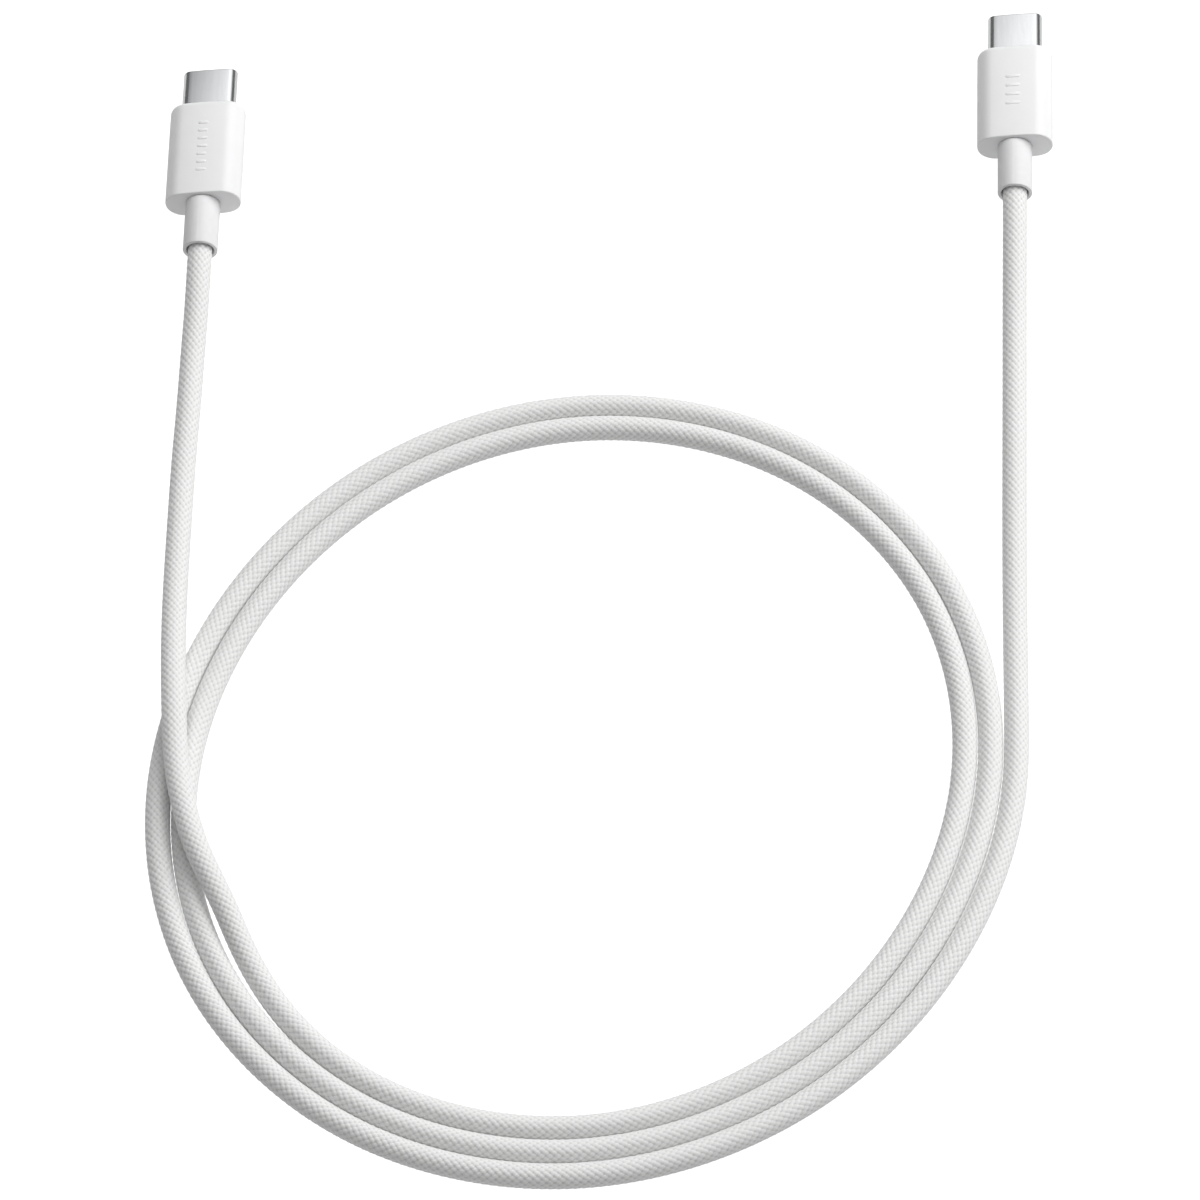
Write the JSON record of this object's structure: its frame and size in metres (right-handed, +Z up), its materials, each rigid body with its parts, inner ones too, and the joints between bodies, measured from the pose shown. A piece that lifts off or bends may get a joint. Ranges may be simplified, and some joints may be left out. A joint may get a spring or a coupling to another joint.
{
  "type": "charging cable",
  "caption": "Charging cable with a white woven sleeve, lying in a loose flat coil, with a flat reversible plug and strain relief at each end.",
  "frame": {"origin": "on the surface that the cable lies on, below the middle of the box around its two plugs", "axes": "+Y the way both plugs point, within 1.5 degrees; +X from the left plug to the right plug; +Z up from the surface"},
  "size_m": [0.1334, 0.1983, 0.0075],
  "materials": {
    "housing": "satin",
    "boot": "satin",
    "sleeve": "matte",
    "shell": "satin",
    "insulator": "matte",
    "contact": "polished",
    "spring": "satin",
    "card": "satin",
    "can": "satin",
    "mould": "matte",
    "jacket": "matte",
    "red_wire": "satin",
    "black_wire": "satin",
    "green_wire": "satin",
    "white_wire": "satin",
    "blue_wire": "satin"
  },
  "bodies": {
    "cord": {"cord": "sleeve"},
    "right_plug": {"right_metal_shell": "shell", "right_housing": "housing", "right_strain_relief_boot": "boot", "right_front_insulator": "insulator", "right_contact_block": "insulator", "right_contact_a1": "contact", "right_contact_a4": "contact", "right_contact_a5": "contact", "right_contact_a6": "contact", "right_contact_a7": "contact", "right_contact_a9": "contact", "right_contact_a12": "contact", "right_contact_b1": "contact", "right_contact_b4": "contact", "right_contact_b9": "contact", "right_contact_b12": "contact", "right_upper_ground_spring": "spring", "right_lower_ground_spring": "spring", "right_circuit_card": "card", "right_red_wire": "red_wire", "right_green_wire": "green_wire", "right_blue_wire": "blue_wire", "right_white_wire": "white_wire", "right_black_wire": "black_wire", "right_shield_can": "can", "right_inner_mould": "mould", "right_jacket_end": "jacket"},
    "right_outer_latch": {"right_outer_latch_arm": "spring"},
    "right_inner_latch": {"right_inner_latch_arm": "spring"},
    "left_plug": {"left_metal_shell": "shell", "left_housing": "housing", "left_strain_relief_boot": "boot", "left_front_insulator": "insulator", "left_contact_block": "insulator", "left_contact_a1": "contact", "left_contact_a4": "contact", "left_contact_a5": "contact", "left_contact_a6": "contact", "left_contact_a7": "contact", "left_contact_a9": "contact", "left_contact_a12": "contact", "left_contact_b1": "contact", "left_contact_b4": "contact", "left_contact_b9": "contact", "left_contact_b12": "contact", "left_upper_ground_spring": "spring", "left_lower_ground_spring": "spring", "left_circuit_card": "card", "left_red_wire": "red_wire", "left_green_wire": "green_wire", "left_blue_wire": "blue_wire", "left_white_wire": "white_wire", "left_black_wire": "black_wire", "left_shield_can": "can", "left_inner_mould": "mould", "left_jacket_end": "jacket"},
    "left_outer_latch": {"left_outer_latch_arm": "spring"},
    "left_inner_latch": {"left_inner_latch_arm": "spring"}
  },
  "joints": [
    {"name": "right_plug_bend", "type": "hinge", "parent": "cord", "child": "right_plug", "pos_m": [0.0604, -0.0105, 0.0034], "axis": [0, 0, 1], "range_deg": [-20, 20], "stiffness_Nm_per_rad": 0.02},
    {"name": "right_outer_latch_flex", "type": "hinge", "parent": "right_plug", "child": "right_outer_latch", "pos_m": [0.06447, 0.01565, 0.00394], "axis": [0.1564, -0.0041, -0.9877], "range_deg": [0, 1.3], "stiffness_Nm_per_rad": 0.05},
    {"name": "right_inner_latch_flex", "type": "hinge", "parent": "right_plug", "child": "right_inner_latch", "pos_m": [0.0577, 0.01583, 0.00287], "axis": [-0.1564, 0.0041, 0.9877], "range_deg": [0, 1.3], "stiffness_Nm_per_rad": 0.05},
    {"name": "left_plug_bend", "type": "hinge", "parent": "cord", "child": "left_plug", "pos_m": [-0.06125, -0.0208, 0.0034], "axis": [0, 0, 1], "range_deg": [-20, 20], "stiffness_Nm_per_rad": 0.02},
    {"name": "left_outer_latch_flex", "type": "hinge", "parent": "left_plug", "child": "left_outer_latch", "pos_m": [-0.06395, 0.00553, 0.00287], "axis": [-0.1564, 0.0041, 0.9877], "range_deg": [0, 1.3], "stiffness_Nm_per_rad": 0.05},
    {"name": "left_inner_latch_flex", "type": "hinge", "parent": "left_plug", "child": "left_inner_latch", "pos_m": [-0.05718, 0.00535, 0.00394], "axis": [0.1564, -0.0041, -0.9877], "range_deg": [0, 1.3], "stiffness_Nm_per_rad": 0.05}
  ]
}
